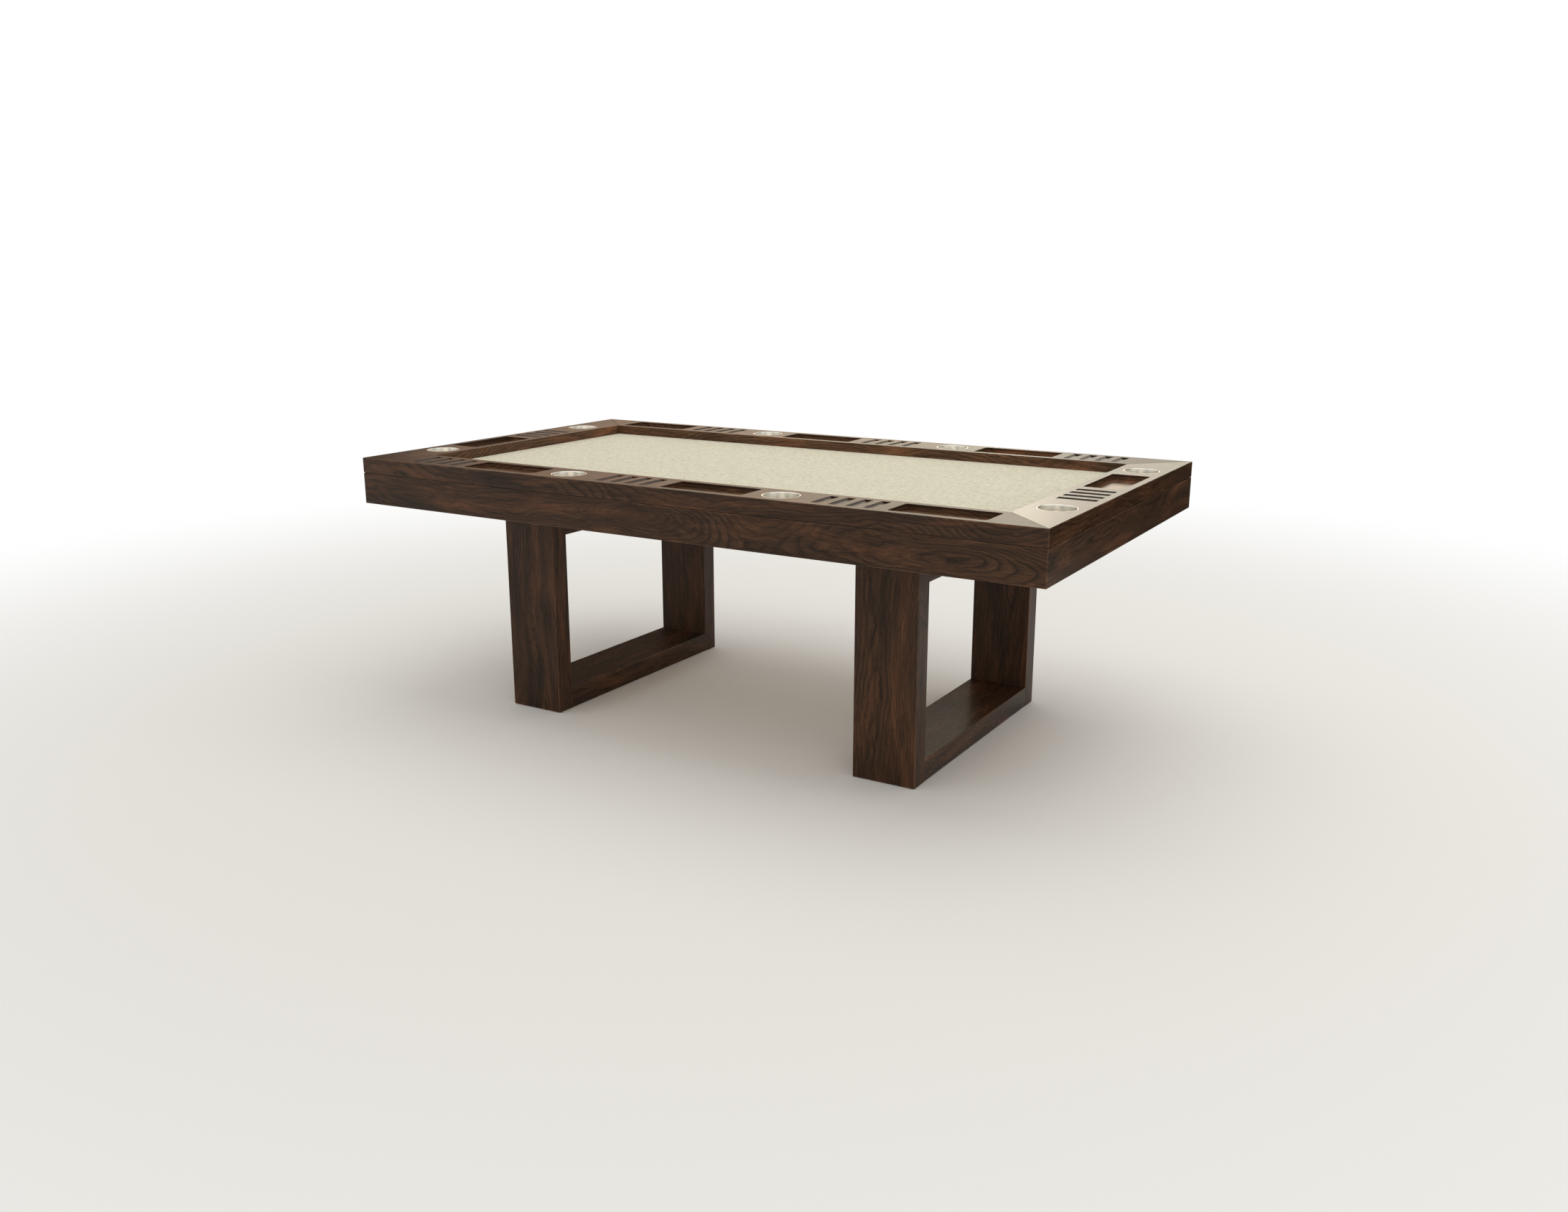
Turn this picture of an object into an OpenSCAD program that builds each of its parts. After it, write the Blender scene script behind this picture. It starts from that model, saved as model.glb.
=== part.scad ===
// Gaming table for eight players.
// A mitred frame with shallow grooves, trays and drop-in cup liners stands round
// a sunk cloth playing surface, and the top rests on two closed-loop trestles.
// Millimetres. X runs along the long edge, Y from front to back and Z up.
// The origin is on the floor, under the middle of the top.

/* [Top] */
// Length of the top
table_l = 2165; // [1950:5:2500]
// Width of the top
table_w = 1205; // [1100:5:1400]
// Height of the rail's top face above the floor
table_h = 762; // [720:2:800]
// Width of the rail that frames the playing surface
rail_w = 150; // [140:1:165]
// Thickness of the rail
rail_t = 46; // [40:1:56]
// Height of the apron under the rail
apron_h = 92; // [80:1:110]
// Thickness of the apron boards
apron_t = 25; // [20:1:25]
// Chamfer along the outer edges and the seam
edge_chamfer = 1.5; // [0.5:0.25:3]
// Height of the shadow gap between rail and apron
seam_h = 2; // [1:0.5:4]
// Depth of the shadow gap
seam_d = 3; // [2:0.5:6]
// Easing along the mitre lines on the rail's top face
mitre_ease = 0.8; // [0.4:0.1:1.5]

/* [Playing surface] */
// Depth of the cloth below the rail's top face
play_drop = 28.5; // [22:0.5:32]
// Thickness of the foam under the cloth
foam_t = 4; // [2:0.5:6]
// Thickness of the cloth
cloth_t = 1.5; // [1:0.25:2]
// Gap all round between the panel and the rail
panel_gap = 0.8; // [0.5:0.1:2]
// Thickness of the deck that carries the panel
deck_t = 18; // [15:1:24]
// How far the deck reaches under the rail
deck_lap = 24; // [16:1:26]

/* [Trays] */
// Length of a tray along the rail
tray_l = 253; // [200:1:260]
// Width of a tray, and length of a groove, across the rail
tray_w = 104; // [90:1:115]
// Depth of a tray
tray_depth = 15; // [8:0.5:20]
// Radius of a tray's upright corners
tray_r = 6; // [3:0.5:15]
// Chamfer round a tray's mouth
mouth_chamfer = 1.2; // [0.5:0.1:2]

/* [Rail grooves] */
// Number of grooves in a group
groove_count = 4; // [2:1:4]
// Distance between the centre lines of two grooves
groove_pitch = 48.5; // [44:0.5:50]
// Radius of a groove's round bottom
groove_r = 24; // [20:0.5:24]
// Depth of a groove
groove_depth = 4; // [2:0.5:6]

/* [Cup liners] */
// Outer radius of the liner's flange
flange_r = 50.5; // [48:0.5:52]
// Thickness of the flange
flange_t = 1.2; // [0.8:0.1:2]
// Outer radius of the liner's wall
liner_r = 47.6; // [42:0.1:48]
// Thickness of the liner's wall and floor
liner_wall = 0.9; // [0.6:0.1:1.5]
// Depth of the liner below the rail's top face
liner_depth = 65; // [50:1:80]
// Rounding between the liner's wall and floor
liner_foot_r = 8; // [4:0.5:14]
// Radial gap between a liner and its bore
liner_gap = 0.5; // [0.3:0.1:0.8]

/* [Trestles] */
// Distance of a trestle's middle from the table's middle
trestle_x = 596; // [500:1:650]
// Depth of a trestle from front to back
trestle_d = 847; // [700:1:900]
// Width of a trestle's members along the table
post_w = 182; // [140:1:200]
// Thickness of a post, a foot rail and a cross beam
member_t = 61; // [50:1:70]
// Height of the head rail
head_rail_h = 93; // [70:1:110]
// Chamfer along the edges of the trestle's members
member_chamfer = 1.2; // [0.5:0.1:2.5]
// Length of a floating tenon
tenon_l = 50; // [40:1:56]
// Width of a floating tenon
tenon_w = 50; // [30:1:56]
// Thickness of a floating tenon
tenon_t = 12; // [8:1:14]
// How far a floor glide stands out of its post
glide_proud = 2; // [1:0.5:4]
// Radius of a floor glide
glide_r = 15; // [10:0.5:20]

/* [Frame under the deck] */
// Distance of a stringer from the table's middle
stringer_y = 200; // [120:1:220]
// Thickness of a stringer
stringer_t = 30; // [20:1:40]
// Width of the cleats that join rail and apron
cleat_w = 25; // [20:1:30]
// Leg length of a corner block
block_leg = 90; // [80:1:110]
// Height of a corner block
block_h = 70; // [60:1:80]
// Leg length of an angle bracket
bracket_leg = 40; // [30:1:50]
// Thickness of an angle bracket
bracket_t = 3; // [2:0.5:4]

/* [Fasteners] */
// Radius of a wood screw
screw_r = 2.2; // [1.5:0.1:3]
// Radius of a wood screw's head
screw_head_r = 4.2; // [3.5:0.1:5]
// Height of a wood screw's head
screw_head_t = 2.6; // [2:0.1:3.5]
// How far a wood screw bites into the piece that it holds
screw_bite = 18; // [12:1:19]
// Radius of a trestle bolt
bolt_r = 5; // [4:0.5:6]
// Length of a trestle bolt below its head
bolt_l = 110; // [95:1:125]
// Depth of the pocket that hides a bolt's head
bolt_pocket = 14; // [12:1:24]
// Outer radius of a threaded insert
insert_r = 7.5; // [7:0.5:9]
// Length of a threaded insert
insert_l = 30; // [20:1:40]
// Gap round a part in its hole or mortise
fit_gap = 0.1; // [0.05:0.05:0.3]

/* [Hidden] */
// Colours as the wood, metal and cloth show them
walnut = [0.23, 0.14, 0.10];
plywood = [0.72, 0.58, 0.40];
beech = [0.76, 0.60, 0.42];
steel = [0.78, 0.78, 0.75];
zinc = [0.62, 0.64, 0.66];
felt = [0.66, 0.63, 0.52];
foam = [0.85, 0.83, 0.72];
nylon = [0.10, 0.10, 0.10];
round_fn = 64;
small_fn = 24;
cut = 1; // how far a cutting solid runs past the face that it opens

// Places of trays, groove groups and cups along a rail, as shares of half
// the opening's side. Each rail is laid out from its own left end, seen from
// outside, and opposite rails are alike turned by half a turn.
long_trays = [-0.6075, 0.140, 0.855];
long_grooves = [-0.874, -0.137, 0.584];
long_cups = [-0.37, 0.37];
short_trays = [0.2685];
short_grooves = [-0.283];
short_cups = [-0.76, 0.76];

// Half sides of the opening that the rail leaves, and heights of the layers
open_x = table_l / 2 - rail_w;
open_y = table_w / 2 - rail_w;
rail_z = table_h - rail_t;
apron_z = rail_z - apron_h;
deck_z = rail_z - deck_t;
beam_z = deck_z - member_t;
head_z = beam_z - head_rail_h;
cloth_z = table_h - play_drop;
board_t = rail_t - play_drop - foam_t - cloth_t;

// Inner faces of the apron
apron_in_x = table_l / 2 - apron_t;
apron_in_y = table_w / 2 - apron_t;

// Joint planes between a trestle's rails and its posts
post_in_y = trestle_d / 2 - member_t;
post_mid_y = trestle_d / 2 - member_t / 2;

// Cleats keep this far from a cup, and stop short of the corner blocks
cup_margin = 15;
cleat_end = 5;
cleat_h = deck_t;
rail_screw_inset = 40;
apron_screw_inset = 80;

// Floating tenons in the mitres of the rail
mitre_tenon = [60, 70, 10];
mitre_tenon_z = rail_z + 17;
trestle_tenon_x = 42;

// Corner blocks
block_relief = 6;
block_screw_at = 55;
block_screw_seat = 20;
block_screw_rows = [18, 52];

// Bolts, washers and inserts between trestle and cross beam
bolt_places = [[-50, -250], [50, -250], [-50, 250], [50, 250]];
bolt_head_r = 9.2;
bolt_head_t = 6.5;
washer_r = 10.5;
washer_t = 2;
bolt_bore_r = bolt_r + 0.6;
pocket_r = washer_r + 1.2;

// Glides
glide_t = 5;
glide_x = 60;
glide_screw_l = 16;
glide_screw_seat = 1.2;

// Deck screws, as places on the deck
beam_screw_y = [120, 360];
stringer_screw_x = 300;
end_screw_x = 120;
deck_screw_places = concat(
    [for (s = [-1, 1], t = [-1, 1], y = beam_screw_y) [s * trestle_x, t * y]],
    [for (m = [-1, 0, 1], s = [-1, 1]) [m * stringer_screw_x, s * stringer_y]],
    [for (s = [-1, 1], t = [-1, 1]) [s * (trestle_x + post_w / 2 + end_screw_x), t * stringer_y]]);
deck_screw_bite = 32;

// Angle brackets
bracket_h = 45;
bracket_hole_rows = [12, 33];
bracket_hole_at = 25;
bracket_drop = 8;
bracket_screw_bite = 16;

// ---- Shared shapes ----

// The four sides of the top, numbered from the front anticlockwise. Even ones are long.
function is_long(side) = side % 2 == 0;
function side_len(side) = is_long(side) ? table_l : table_w;
function side_out(side) = (is_long(side) ? table_w : table_l) / 2;
function side_open(side) = is_long(side) ? open_x : open_y;
function side_cups(side) = is_long(side) ? long_cups : short_cups;
function rail_mid(side) = side_out(side) - rail_w / 2;

// Stretches of a side, clear of cups and corner blocks, that carry a cleat
function cleat_mid(side) = max(side_cups(side)) * side_open(side) - flange_r - cup_margin;
function cleat_start(side) = max(side_cups(side)) * side_open(side) + flange_r + cup_margin;
function cleat_stop(side) = side_len(side) / 2 - apron_t - block_leg - cleat_end;
function cleat_spans(side) = is_long(side)
    ? [[-cleat_stop(side), -cleat_start(side)], [-cleat_mid(side), cleat_mid(side)],
       [cleat_start(side), cleat_stop(side)]]
    : [[-cleat_mid(side), cleat_mid(side)]];

// Turns a piece that is drawn at the front to another side of the top
module on_side(side) rotate([0, 0, 90 * side]) children();

// Repeats a piece that is drawn at the right back corner at all four
module at_corners() for (m = [0, 1], n = [0, 1]) mirror([m, 0, 0]) mirror([0, n, 0]) children();

// Block between two corners
module block(low, high) translate(low) cube(high - low);

// Section of the rail: outer face at 0, inner face at rail_w, and the shadow
// gap as a rebate in its lower outer corner
module rail_section()
    polygon([[seam_d, rail_z], [rail_w, rail_z], [rail_w, table_h - edge_chamfer / 2],
        [rail_w - edge_chamfer / 2, table_h], [edge_chamfer, table_h], [0, table_h - edge_chamfer],
        [0, rail_z + seam_h], [seam_d, rail_z + seam_h]]);

// Section of the apron, chamfered at both outer edges
module apron_section()
    polygon([[edge_chamfer, apron_z], [apron_t, apron_z], [apron_t, rail_z], [edge_chamfer, rail_z],
        [0, rail_z - edge_chamfer], [0, apron_z + edge_chamfer]]);

// Bar along the front edge from a section, mitred at both ends, its upright corners chamfered
module mitred_bar(side, w, z0, z1) {
    half = side_len(side) / 2;
    c = edge_chamfer;
    translate([0, -side_out(side), 0]) intersection() {
        rotate([90, 0, 90]) linear_extrude(2 * half, center = true) children();
        translate([0, 0, z0 - cut]) linear_extrude(z1 - z0 + 2 * cut)
            polygon([[-half + c, 0], [half - c, 0], [half - c / 2, c / 2], [half - w, w],
                [-half + w, w], [-half + c / 2, c / 2]]);
    }
}

// Wood screw: head below the origin, shank along +Z
module screw(shank) {
    cylinder(h = shank, r = screw_r, $fn = small_fn);
    translate([0, 0, -screw_head_t]) cylinder(h = screw_head_t, r = screw_head_r, $fn = small_fn);
}

// Hole for that screw, with its head's pocket running back by depth
module screw_hole(shank, depth) {
    cylinder(h = shank + fit_gap, r = screw_r + fit_gap, $fn = small_fn);
    translate([0, 0, -depth]) cylinder(h = depth, r = screw_head_r + fit_gap, $fn = small_fn);
}

// ---- Top rail ----

// Tray: a rounded rectangle, with a chamfer round its mouth
module tray_cut() {
    inner_l = tray_l - 2 * tray_r;
    inner_w = tray_w - 2 * tray_r;
    block([-tray_l / 2, -inner_w / 2, -tray_depth], [tray_l / 2, inner_w / 2, cut]);
    block([-inner_l / 2, -tray_w / 2, -tray_depth], [inner_l / 2, tray_w / 2, cut]);
    for (x = [-1, 1], y = [-1, 1]) translate([x * inner_l / 2, y * inner_w / 2, 0]) {
        translate([0, 0, -tray_depth]) cylinder(h = tray_depth + cut, r = tray_r, $fn = round_fn);
        translate([0, 0, -mouth_chamfer])
            cylinder(h = mouth_chamfer, r1 = tray_r, r2 = tray_r + mouth_chamfer, $fn = round_fn);
    }
    rotate([90, 0, 90]) linear_extrude(inner_l, center = true) mouth_section(tray_w / 2);
    rotate([90, 0, 0]) linear_extrude(inner_w, center = true) mouth_section(tray_l / 2);
}

module mouth_section(half)
    polygon([[-half, -mouth_chamfer], [half, -mouth_chamfer], [half + mouth_chamfer, 0],
        [-half - mouth_chamfer, 0]]);

// Group of round-bottomed grooves, which run across the rail
module groove_cuts()
    for (i = [0 : groove_count - 1])
        translate([(i - (groove_count - 1) / 2) * groove_pitch, 0, groove_r - groove_depth])
            rotate([90, 0, 0]) cylinder(h = tray_w, r = groove_r, center = true, $fn = round_fn);

// Bore for a cup liner, with a rebate for its flange
module cup_cut() {
    translate([0, 0, -rail_t - cut]) cylinder(h = rail_t + 2 * cut, r = liner_r + liner_gap, $fn = round_fn);
    translate([0, 0, -flange_t]) cylinder(h = flange_t + cut, r = flange_r + liner_gap, $fn = round_fn);
}

module top_rail(side) color(walnut) difference() {
    on_side(side) difference() {
        mitred_bar(side, rail_w, rail_z, table_h) rail_section();
        translate([0, -rail_mid(side), table_h]) {
            for (s = is_long(side) ? long_trays : short_trays)
                translate([s * side_open(side), 0, 0]) tray_cut();
            for (s = is_long(side) ? long_grooves : short_grooves)
                translate([s * side_open(side), 0, 0]) groove_cuts();
            for (s = side_cups(side)) translate([s * side_open(side), 0, 0]) cup_cut();
        }
        at_rail_screws(side) screw_hole(cleat_h + screw_bite - screw_head_t, screw_head_t);
    }
    at_corners() mitre_tenon_solid(fit_gap);
    at_corners() mitre_groove();
}

// Shallow V along a mitre line, which eases the edges of both rails there
module mitre_groove()
    translate([table_l / 2, table_w / 2, table_h]) rotate([0, 0, 45]) rotate([45, 0, 0])
        cube([2 * sqrt(2) * (rail_w + cut), sqrt(2) * mitre_ease, sqrt(2) * mitre_ease], center = true);

// Floating tenon across a mitre, grown by a gap for its mortise
module mitre_tenon_solid(gap)
    translate([table_l / 2 - rail_w / 2, table_w / 2 - rail_w / 2, mitre_tenon_z])
        rotate([0, 0, -45]) cube(mitre_tenon + 2 * gap * [1, 1, 1], center = true);

module mitre_tenons() color(beech) at_corners() mitre_tenon_solid(0);

// ---- Apron ----

module apron(side) color(walnut) difference() {
    on_side(side) difference() {
        mitred_bar(side, apron_t, apron_z, rail_z) apron_section();
        at_apron_screws(side) screw_hole(cleat_w + screw_bite - screw_head_t, screw_head_t);
    }
    at_corner_screws() screw_hole(block_screw_seat + screw_bite, screw_head_t);
    at_bracket_apron_screws() screw_hole(bracket_t + bracket_screw_bite, screw_head_t);
}

module corner_blocks() color(beech) difference() {
    at_corners() translate([apron_in_x, apron_in_y, rail_z - block_h]) linear_extrude(block_h)
        polygon([[-block_relief, 0], [-block_leg, 0], [0, -block_leg], [0, -block_relief]]);
    at_corner_screws() screw_hole(block_screw_seat + screw_bite, block_leg / 2);
}

// Screws through a corner block into both aprons
module at_corner_screws() at_corners() for (z = block_screw_rows)
    translate([apron_in_x, apron_in_y, rail_z - block_h + z]) {
        translate([-block_screw_at, -block_screw_seat, 0]) rotate([-90, 0, 0]) children();
        translate([-block_screw_seat, -block_screw_at, 0]) rotate([0, 90, 0]) children();
    }

module corner_screws() color(zinc) at_corner_screws() screw(block_screw_seat + screw_bite);

// Cleats inside the apron, screwed sideways to it and up into the rail
module rail_cleats() color(beech) for (side = [0 : 3]) on_side(side) difference() {
    for (span = cleat_spans(side))
        block([span[0], apron_t - side_out(side), rail_z - cleat_h],
            [span[1], apron_t + cleat_w - side_out(side), rail_z]);
    at_rail_screws(side) screw_hole(cleat_h + screw_bite - screw_head_t, screw_head_t + cut);
    at_apron_screws(side) screw_hole(cleat_w + screw_bite - screw_head_t, screw_head_t + cut);
}

module at_rail_screws(side)
    for (span = cleat_spans(side), x = [span[0] + rail_screw_inset, span[1] - rail_screw_inset])
        translate([x, apron_t + cleat_w / 2 - side_out(side), rail_z - cleat_h + screw_head_t]) children();

module at_apron_screws(side)
    for (span = cleat_spans(side), x = [span[0] + apron_screw_inset, span[1] - apron_screw_inset])
        translate([x, apron_t + cleat_w - screw_head_t - side_out(side), rail_z - cleat_h / 2])
            rotate([90, 0, 0]) children();

module cleat_screws() color(zinc) for (side = [0 : 3]) on_side(side) {
    at_rail_screws(side) screw(cleat_h + screw_bite - screw_head_t);
    at_apron_screws(side) screw(cleat_w + screw_bite - screw_head_t);
}

// ---- Deck and the frame under it ----

module at_deck_screws() for (p = deck_screw_places)
    translate([p[0], p[1], rail_z - screw_head_t]) rotate([180, 0, 0]) children();

module deck() color(plywood) difference() {
    block([-open_x - deck_lap, -open_y - deck_lap, deck_z], [open_x + deck_lap, open_y + deck_lap, rail_z]);
    at_deck_screws() screw_hole(deck_t + cut, screw_head_t + cut);
}

module deck_screws() color(zinc) at_deck_screws() screw(deck_t - screw_head_t + deck_screw_bite);

module deck_screw_holes() at_deck_screws() screw_hole(deck_t - screw_head_t + deck_screw_bite, screw_head_t);

module cross_beam(side) color(beech) difference() {
    block([side * trestle_x - post_w / 2, -apron_in_y, beam_z], [side * trestle_x + post_w / 2, apron_in_y, deck_z]);
    deck_screw_holes();
    at_bolts() {
        cylinder(h = bolt_l + fit_gap, r = bolt_r + fit_gap, $fn = small_fn);
        insert_place() cylinder(h = insert_l + fit_gap, r = insert_r + fit_gap, $fn = small_fn);
    }
    at_bracket_beam_screws() screw_hole(bracket_t + bracket_screw_bite, screw_head_t);
}

module stringer_bar(x0, x1, y)
    block([x0, y - stringer_t / 2, beam_z], [x1, y + stringer_t / 2, deck_z]);

module stringer(side) color(beech) difference() {
    stringer_bar(post_w / 2 - trestle_x, trestle_x - post_w / 2, side * stringer_y);
    deck_screw_holes();
}

module end_stringers() color(beech) difference() {
    for (s = [-1, 1], m = [0, 1]) mirror([m, 0, 0])
        stringer_bar(trestle_x + post_w / 2, apron_in_x, s * stringer_y);
    deck_screw_holes();
}

// Angle brackets: one on each side of each end of a cross beam, drawn at the
// back end of the right beam, on the side that faces the right
module at_brackets() at_corners() for (m = [0, 1])
    translate([trestle_x, apron_in_y, deck_z - bracket_drop - bracket_h])
        mirror([m, 0, 0]) translate([post_w / 2, 0, 0]) children();

module at_bracket_apron_screws() at_brackets() for (z = bracket_hole_rows)
    translate([bracket_hole_at, -bracket_t, z]) rotate([-90, 0, 0]) children();

module at_bracket_beam_screws() at_brackets() for (z = bracket_hole_rows)
    translate([bracket_t, -bracket_hole_at, z]) rotate([0, -90, 0]) children();

module beam_brackets() color(zinc) difference() {
    at_brackets() union() {
        block([0, -bracket_t, 0], [bracket_leg, 0, bracket_h]);
        block([0, -bracket_leg, 0], [bracket_t, 0, bracket_h]);
    }
    at_bracket_apron_screws() cylinder(h = bracket_leg, r = screw_r + fit_gap, center = true, $fn = small_fn);
    at_bracket_beam_screws() cylinder(h = bracket_leg, r = screw_r + fit_gap, center = true, $fn = small_fn);
}

module bracket_screws() color(zinc) {
    at_bracket_apron_screws() screw(bracket_t + bracket_screw_bite);
    at_bracket_beam_screws() screw(bracket_t + bracket_screw_bite);
}

// ---- Playing surface: board, foam, and cloth that wraps the edges ----

module panel_layer(inset, z0, z1)
    block([inset - open_x, inset - open_y, z0], [open_x - inset, open_y - inset, z1]);

module playing_board() color(plywood) panel_layer(panel_gap + cloth_t, rail_z, rail_z + board_t);

module foam_pad() color(foam) panel_layer(panel_gap + cloth_t, rail_z + board_t, cloth_z - cloth_t);

module playing_cloth() color(felt) difference() {
    panel_layer(panel_gap, rail_z, cloth_z);
    panel_layer(panel_gap + cloth_t, rail_z - cut, cloth_z - cloth_t);
}

// ---- Cup liners: pressed cups that drop into their bores ----

module liner_half(r, floor_z, top_z, foot)
    union() {
        translate([0, floor_z + foot]) square([r, top_z - floor_z - foot]);
        translate([0, floor_z]) square([r - foot, foot]);
        translate([r - foot, floor_z + foot]) intersection() {
            circle(r = foot, $fn = round_fn);
            translate([0, -foot]) square(foot);
        }
    }

module cup_liner(side, share) color(steel) on_side(side)
    translate([share * side_open(side), -rail_mid(side), table_h]) rotate_extrude($fn = round_fn)
        difference() {
            union() {
                liner_half(liner_r, -liner_depth, 0, liner_foot_r);
                translate([0, -flange_t]) square([flange_r, flange_t]);
            }
            liner_half(liner_r - liner_wall, liner_wall - liner_depth, cut, liner_foot_r - liner_wall);
        }

// ---- Trestles ----

// Board section with its four corners chamfered
module member_section(a, b) {
    c = member_chamfer;
    polygon([[c, 0], [a - c, 0], [a, c], [a, b - c], [a - c, b], [c, b], [0, b - c], [0, c]]);
}

module tenon_places() for (s = [-1, 1], m = [0, 1], x = [-trestle_tenon_x, trestle_tenon_x],
        z = [glide_proud + member_t / 2, (head_z + beam_z) / 2])
    mirror([0, m, 0]) translate([s * trestle_x + x, post_in_y, z]) children();

module tenon(gap) cube([tenon_w + 2 * gap, tenon_l + 2 * gap, tenon_t + 2 * gap], center = true);

module trestle_tenons() color(beech) tenon_places() tenon(0);

module post(side, end) color(walnut) difference() {
    translate([side * trestle_x - post_w / 2, end * post_mid_y - member_t / 2, glide_proud])
        linear_extrude(beam_z - glide_proud) member_section(post_w, member_t);
    tenon_places() tenon(fit_gap);
    at_glides() cylinder(h = glide_t + fit_gap, r = glide_r + fit_gap, $fn = round_fn);
    at_glides() translate([0, 0, glide_screw_seat + screw_head_t]) screw_hole(glide_screw_l, screw_head_t);
}

// Rail between the posts of a trestle
module trestle_rail(side, z0, h)
    translate([side * trestle_x - post_w / 2, post_in_y, z0]) rotate([90, 0, 0])
        linear_extrude(2 * post_in_y) member_section(post_w, h);

module foot_rail(side) color(walnut) difference() {
    trestle_rail(side, glide_proud, member_t);
    tenon_places() tenon(fit_gap);
}

// The origin of each bolt is the underside of its head
module at_bolts() for (s = [-1, 1], p = bolt_places)
    translate([s * trestle_x + p[0], p[1], head_z + bolt_pocket - washer_t]) children();

module insert_place() translate([0, 0, beam_z - head_z - bolt_pocket + washer_t]) children();

module head_rail(side) color(walnut) difference() {
    trestle_rail(side, head_z, head_rail_h);
    tenon_places() tenon(fit_gap);
    at_bolts() {
        cylinder(h = head_rail_h, r = bolt_bore_r, $fn = small_fn);
        translate([0, 0, washer_t - bolt_pocket - cut])
            cylinder(h = bolt_pocket + cut, r = pocket_r, $fn = round_fn);
    }
}

module trestle_bolts() color(zinc) at_bolts() {
    cylinder(h = bolt_l, r = bolt_r, $fn = small_fn);
    translate([0, 0, -bolt_head_t]) cylinder(h = bolt_head_t, r = bolt_head_r, $fn = 6);
}

module bolt_washers() color(zinc) at_bolts() difference() {
    cylinder(h = washer_t, r = washer_r, $fn = round_fn);
    translate([0, 0, -cut]) cylinder(h = washer_t + 2 * cut, r = bolt_r + fit_gap, $fn = small_fn);
}

module threaded_inserts() color(zinc) at_bolts() insert_place() difference() {
    cylinder(h = insert_l, r = insert_r, $fn = small_fn);
    translate([0, 0, -cut]) cylinder(h = insert_l + 2 * cut, r = bolt_r + fit_gap, $fn = small_fn);
}

// Floor glides, let into the posts' lower ends
module at_glides() for (s = [-1, 1], x = [-glide_x, glide_x], e = [-1, 1])
    translate([s * trestle_x + x, e * post_mid_y, 0]) children();

module floor_glides() color(nylon) at_glides() difference() {
    cylinder(h = glide_t, r = glide_r, $fn = round_fn);
    translate([0, 0, glide_screw_seat + screw_head_t]) screw_hole(glide_screw_l, glide_t);
}

module glide_screws() color(zinc) at_glides()
    translate([0, 0, glide_screw_seat + screw_head_t]) screw(glide_screw_l);

// ---- Nodes ----

top_rail(0);  // top_rail_front
top_rail(1);  // top_rail_right
top_rail(2);  // top_rail_back
top_rail(3);  // top_rail_left
mitre_tenons();
apron(0);  // apron_front
apron(1);  // apron_right
apron(2);  // apron_back
apron(3);  // apron_left
corner_blocks();
corner_screws();
rail_cleats();
cleat_screws();
deck();
deck_screws();
cross_beam(-1);  // cross_beam_left
cross_beam(1);  // cross_beam_right
stringer(-1);  // stringer_front
stringer(1);  // stringer_back
end_stringers();
beam_brackets();
bracket_screws();
playing_board();
foam_pad();
playing_cloth();
cup_liner(0, long_cups[0]);  // cup_liner_front_left
cup_liner(0, long_cups[1]);  // cup_liner_front_right
cup_liner(1, short_cups[0]);  // cup_liner_right_front
cup_liner(1, short_cups[1]);  // cup_liner_right_back
cup_liner(2, long_cups[0]);  // cup_liner_back_right
cup_liner(2, long_cups[1]);  // cup_liner_back_left
cup_liner(3, short_cups[0]);  // cup_liner_left_back
cup_liner(3, short_cups[1]);  // cup_liner_left_front
post(-1, -1);  // left_front_post
post(-1, 1);  // left_back_post
foot_rail(-1);  // left_foot_rail
head_rail(-1);  // left_head_rail
post(1, -1);  // right_front_post
post(1, 1);  // right_back_post
foot_rail(1);  // right_foot_rail
head_rail(1);  // right_head_rail
trestle_tenons();
trestle_bolts();
bolt_washers();
threaded_inserts();
floor_glides();
glide_screws();
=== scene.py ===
# %% [markdown]
# # A gaming table in dark walnut
# The table is a mitred top rail over an apron, a sunk playing surface of napped cloth,
# drop-in steel cup liners and two closed-loop trestles. The construction is loaded as a
# fixed frame, and this script gives every surface its finish.

# %% Load the frame
import math

import bmesh
import bpy
from mathutils import Matrix, Vector


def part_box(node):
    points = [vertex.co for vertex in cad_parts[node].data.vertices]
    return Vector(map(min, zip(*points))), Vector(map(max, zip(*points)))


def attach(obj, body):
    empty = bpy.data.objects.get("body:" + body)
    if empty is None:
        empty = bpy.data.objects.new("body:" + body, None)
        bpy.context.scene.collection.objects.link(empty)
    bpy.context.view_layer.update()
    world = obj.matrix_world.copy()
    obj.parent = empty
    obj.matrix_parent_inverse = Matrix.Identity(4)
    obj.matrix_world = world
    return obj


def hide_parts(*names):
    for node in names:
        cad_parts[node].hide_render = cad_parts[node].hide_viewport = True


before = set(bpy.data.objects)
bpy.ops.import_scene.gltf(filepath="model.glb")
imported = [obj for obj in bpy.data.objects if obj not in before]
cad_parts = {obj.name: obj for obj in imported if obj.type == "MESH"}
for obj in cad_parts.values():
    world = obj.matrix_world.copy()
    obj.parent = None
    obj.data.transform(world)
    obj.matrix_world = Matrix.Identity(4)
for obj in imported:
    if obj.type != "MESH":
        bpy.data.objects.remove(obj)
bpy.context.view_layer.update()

# %% [markdown]
# ## Camera
# The view is a low three-quarter one from the right front corner. The lens and the place
# were solved from the table's own straight edges, so the camera needs no aiming.

# %% Camera
LENS_MM = 30.725
SENSOR_MM = 36.0
EYE = (2.07453, -3.39079, 1.32956)
TILT_DEG = 75.6302
TURN_DEG = 31.0002

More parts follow.
